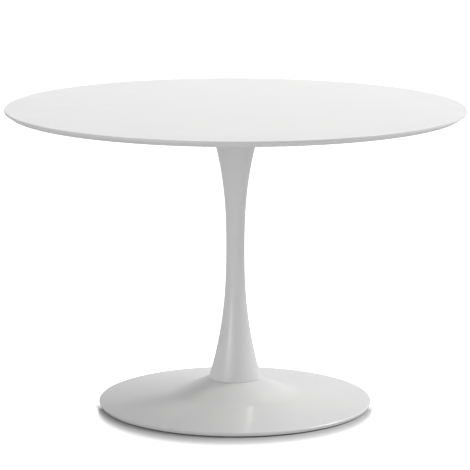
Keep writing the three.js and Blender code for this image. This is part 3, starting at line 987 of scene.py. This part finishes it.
# %% Floor
FLOOR_SIZE = 40.0
FLOOR_WHITE = 0.92           # the floor's colour as the camera sees it
FLOOR_BOUNCE = 0.60          # its colour for all other rays
FLOOR_GLOW = 0.85            # how much it glows towards the camera, so that it stays white
SHADE_START = 0.014          # distances in front of the rim where the shade starts to fade,
SHADE_MIDDLE = 0.45          # is a quarter gone (as a share of its depth),
SHADE_DEPTH = 0.105          # and ends
SHADE_TONE = 0.58
SIDE_FADE = 6                # how fast the shade fades beyond the base's two sides
FLOOR_LEVEL = -0.0003        # a hair under the glides, so the two don't share a plane
floor_mesh = bmesh.new()
bmesh.ops.create_grid(floor_mesh, x_segments=1, y_segments=1, size=FLOOR_SIZE,
                      matrix=Matrix.Translation((0, 0, FLOOR_LEVEL)))
floor_data = bpy.data.meshes.new("studio_floor")
floor_mesh.to_mesh(floor_data)
floor_mesh.free()
floor = bpy.data.objects.new("studio_floor", floor_data)
bpy.context.scene.collection.objects.link(floor)


def rim_shade(sheet):
    """0 in the shade just in front of the rim, 1 on the open floor."""
    sideways = sheet.node("ShaderNodeSeparateXYZ", inputs={0: sheet.place})
    across = sheet.maths_of("ABSOLUTE", sideways)
    along = sheet.node("ShaderNodeSeparateXYZ", inputs={0: sheet.place}, output=1)
    inside = sheet.maths_of("MAXIMUM", BASE_RADIUS ** 2 - across * across, 0.0)
    past_side = sheet.maths_of("MAXIMUM", across - BASE_RADIUS, 0.0)
    forwards = -1 * along - sheet.maths_of("SQRT", inside) + past_side * SIDE_FADE
    depth = sheet.ramp(forwards, (SHADE_START, 0), (SHADE_DEPTH * SHADE_MIDDLE, 0.25),
                       (SHADE_DEPTH, 1))
    behind = sheet.ramp(along * 4 + 1, (0.72, 0), (0.96, 1))
    return sheet.maths_of("MAXIMUM", depth, behind)


sheet = Finish("studio_white", Specular_IOR_Level=0.0, Emission_Strength=1.0)
seen = sheet.node("ShaderNodeLightPath")
paper = sheet.ramp(sheet.noise(3, 2.0), (0.3, 0.99), (0.7, 1.0))
open_floor = rim_shade(sheet)
glow = open_floor * FLOOR_GLOW
sheet.feed(sheet.shader.inputs["Emission Color"], glow * seen)
visible = sheet.blend(open_floor, (SHADE_TONE,) * 3 + (1,), (FLOOR_WHITE,) * 3 + (1,))
white = sheet.blend(seen, (FLOOR_BOUNCE,) * 3 + (1,), visible)
floor_data.materials.append(sheet.finish(white, 0.9 * paper))

# %% Lights
def softbox(name, place, target, width, height, power):
    light = bpy.data.lights.new(name, "AREA")
    light.shape = "RECTANGLE"
    light.size = width
    light.size_y = height
    light.energy = power
    lamp = bpy.data.objects.new(name, light)
    bpy.context.scene.collection.objects.link(lamp)
    aim = Vector(target) - Vector(place)
    lamp.matrix_world = Matrix.Translation(place) @ aim.to_track_quat("-Z", "Y").to_matrix().to_4x4()


# name, place, what it points at, width and height in metres, power in watts
softbox("overhead_softbox", (0, 1.4, 3.5), (0, 0, 0.4), 4.5, 3.0, 41)
softbox("right_softbox", (7.86, 3.17, 8.78), (0, 0, 0.3), 4.4, 4.4, 970)
softbox("front_fill", (-3.3, -4.5, 0.9), (0, 0, 0.4), 4.0, 1.2, 29)
softbox("left_strip", (-2.7, -3.45, 0.45), (0, 0, 0.3), 0.3, 0.9, 6)

# %% Room
ROOM_LOW = 0.66              # brightness of the walls, near the horizon
ROOM_HIGH = 0.22             # brightness of the ceiling
WALL_TOP = 0.25              # the height in a direction where the walls start to dim
CEILING = 0.65               # and where the ceiling's brightness is reached
world = bpy.data.worlds.new("studio")
world.use_nodes = True
nodes, links = world.node_tree.nodes, world.node_tree.links
room = nodes["Background"]
backdrop = nodes.new("ShaderNodeBackground")
for background in (room, backdrop):
    background.inputs["Color"].default_value = (1, 1, 1, 1)
direction = nodes.new("ShaderNodeTexCoord")
split = nodes.new("ShaderNodeSeparateXYZ")
height = nodes.new("ShaderNodeValToRGB")
Finish.set_stops(height.color_ramp, [(WALL_TOP, ROOM_LOW), (CEILING, ROOM_HIGH)])
links.new(direction.outputs["Generated"], split.inputs[0])
links.new(split.outputs["Z"], height.inputs["Fac"])
links.new(height.outputs["Color"], room.inputs["Strength"])
camera_ray = nodes.new("ShaderNodeLightPath")
choice = nodes.new("ShaderNodeMixShader")
links.new(camera_ray.outputs["Is Camera Ray"], choice.inputs["Fac"])
links.new(room.outputs["Background"], choice.inputs[1])
links.new(backdrop.outputs["Background"], choice.inputs[2])
links.new(choice.outputs["Shader"], nodes["World Output"].inputs["Surface"])
bpy.context.scene.world = world
bpy.context.scene.view_settings.view_transform = "Standard"
print("room from", ROOM_LOW, "to", ROOM_HIGH)

# %% One more import
import json
